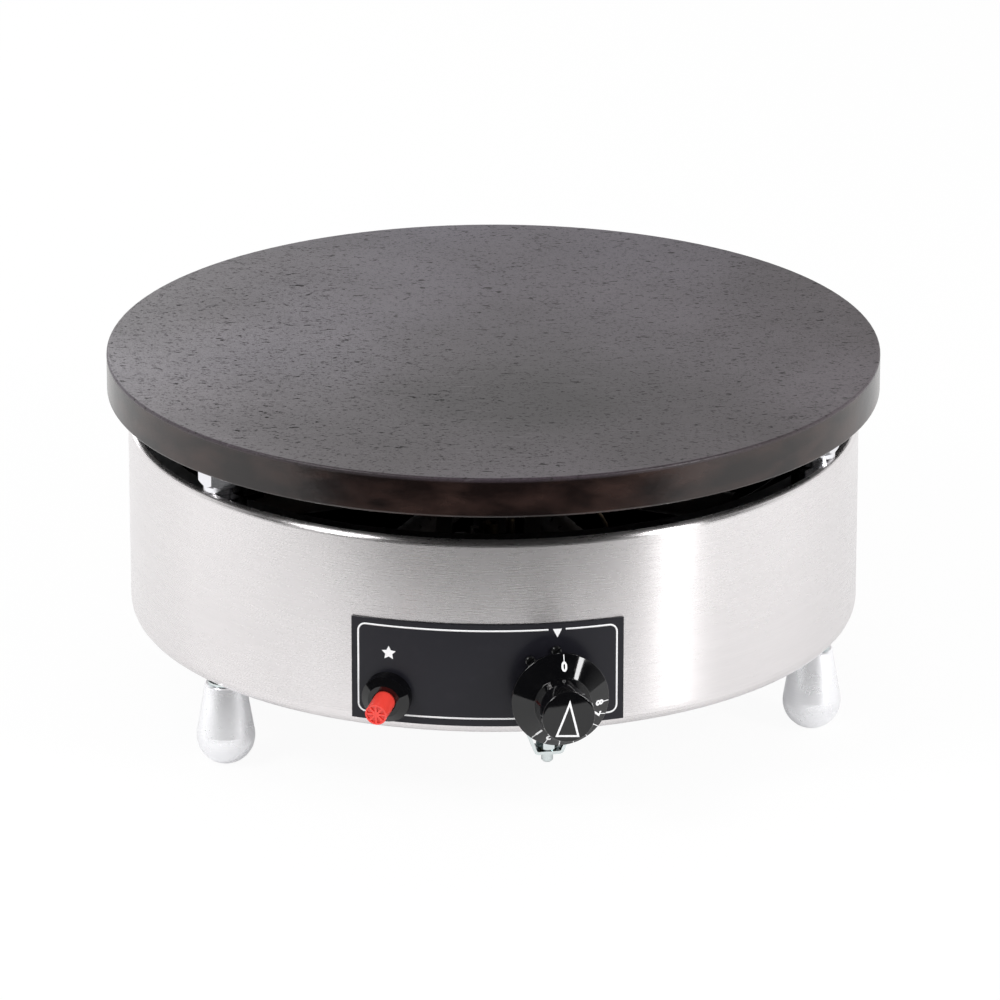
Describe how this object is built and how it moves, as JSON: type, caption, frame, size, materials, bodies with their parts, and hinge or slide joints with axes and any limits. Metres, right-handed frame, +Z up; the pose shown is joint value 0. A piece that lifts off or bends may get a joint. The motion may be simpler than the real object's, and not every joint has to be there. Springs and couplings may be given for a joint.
{
  "type": "gas crepe maker",
  "caption": "Round countertop gas griddle for crepes: cast-iron plate on levelling posts over a stainless drum with a star burner, gas knob, igniter button and pear-shaped feet.",
  "frame": {"origin": "on the griddle's axis, on the plane that the feet stand on", "axes": "+Z up along the griddle's axis, -Y out through the middle of the control panel, +X to the right of someone who faces the panel"},
  "size_m": [0.3999, 0.4264, 0.186],
  "materials": {
    "cast_iron": "seasoned cast iron",
    "shell_steel": "brushed stainless sheet",
    "sheet_steel": "plain sheet steel",
    "aluminised": "aluminised sheet",
    "foot_metal": "satin cast aluminium",
    "bright_steel": "bright turned steel",
    "zinc": "zinc plated",
    "burner_iron": "dark heat-stained iron",
    "brass": "machined brass",
    "copper": "drawn copper",
    "ceramic": "glazed ceramic",
    "lead_rubber": "silicone lead",
    "panel_black": "satin black label plate",
    "black_gloss": "gloss black moulding",
    "black_plastic": "black moulding",
    "button_red": "red moulding",
    "screw_black": "blackened steel"
  },
  "bodies": {
    "base": {"outer_shell": "shell_steel", "top_ring": "shell_steel", "base_plate": "sheet_steel", "heat_shield": "aluminised", "foot_1": "foot_metal", "foot_2": "foot_metal", "foot_3": "foot_metal", "foot_washers": "zinc", "foot_bolts": "zinc", "burner_hub": "burner_iron", "burner_arm_1": "burner_iron", "burner_arm_2": "burner_iron", "burner_arm_3": "burner_iron", "burner_arm_4": "burner_iron", "burner_arm_5": "burner_iron", "burner_arm_6": "burner_iron", "burner_arm_7": "burner_iron", "burner_arm_8": "burner_iron", "mixing_tube": "aluminised", "injector_holder": "brass", "injector": "brass", "burner_column": "zinc", "burner_stands": "zinc", "pilot_bracket": "zinc", "pilot_burner": "brass", "pilot_tube": "copper", "thermocouple": "copper", "thermocouple_lead": "copper", "spark_electrode": "ceramic", "ignition_lead": "lead_rubber", "thermostat_bulb": "copper", "bulb_clips": "sheet_steel", "capillary": "copper", "control_panel": "panel_black", "tap_body": "brass", "tap_bracket": "zinc", "tap_clamp": "zinc", "clamp_bolt": "zinc", "clamp_nut": "zinc", "panel_screws": "screw_black", "stem_spring": "bright_steel", "igniter_bezel": "black_gloss", "igniter_body": "black_plastic", "igniter_nut": "black_plastic", "igniter_spring": "bright_steel", "inlet_elbow": "brass", "inlet_locknut": "brass", "feed_pipe": "copper"},
    "griddle": {"griddle_plate": "cast_iron", "griddle_studs": "bright_steel"},
    "post_1": {"levelling_post_1": "bright_steel"},
    "post_2": {"levelling_post_2": "bright_steel"},
    "post_3": {"levelling_post_3": "bright_steel"},
    "push_spindle": {"push_pin": "bright_steel"},
    "knob": {"tap_stem": "bright_steel", "gas_knob": "black_gloss", "knob_clip": "bright_steel"},
    "button": {"igniter_button": "button_red"},
    "shutter": {"air_shutter": "brass"},
    "bypass": {"bypass_screw": "screw_black"}
  },
  "joints": [
    {"name": "griddle_lift", "type": "slide", "parent": "base", "child": "griddle", "axis": [0, 0, 1], "range_m": [0, 0.06]},
    {"name": "post_turn_1", "type": "hinge", "parent": "griddle", "child": "post_1", "pos_m": [-0.13498, -0.11326, 0.157], "axis": [0, 0, 1], "range_deg": [-180, 180]},
    {"name": "post_turn_2", "type": "hinge", "parent": "griddle", "child": "post_2", "pos_m": [0.16557, -0.06026, 0.157], "axis": [0, 0, 1], "range_deg": [-180, 180]},
    {"name": "post_turn_3", "type": "hinge", "parent": "griddle", "child": "post_3", "pos_m": [-0.0306, 0.17352, 0.157], "axis": [0, 0, 1], "range_deg": [-180, 180]},
    {"name": "knob_push", "type": "slide", "parent": "base", "child": "push_spindle", "axis": [-0.1805, 0.9836, 0], "range_m": [0, 0.004], "stiffness_N_per_m": 900, "springref_m": -0.002, "deforming": ["stem_spring"]},
    {"name": "knob_turn", "type": "hinge", "parent": "push_spindle", "child": "knob", "pos_m": [0.0361, -0.19671, 0.069], "axis": [0.1805, -0.9836, 0], "range_deg": [0, 214]},
    {"name": "igniter_push", "type": "slide", "parent": "base", "child": "button", "axis": [0.259, 0.9598, 0.108], "range_m": [0, 0.005], "stiffness_N_per_m": 700, "springref_m": -0.002, "deforming": ["igniter_spring"]},
    {"name": "air_shutter_turn", "type": "hinge", "parent": "base", "child": "shutter", "pos_m": [0.02034, -0.11085, 0.069], "axis": [0.1805, -0.9836, 0], "range_deg": [0, 45]},
    {"name": "bypass_screw_turn", "type": "hinge", "parent": "base", "child": "bypass", "pos_m": [0.0343, -0.18688, 0.0905], "axis": [0.1805, -0.9836, 0], "range_deg": [-180, 180]}
  ]
}
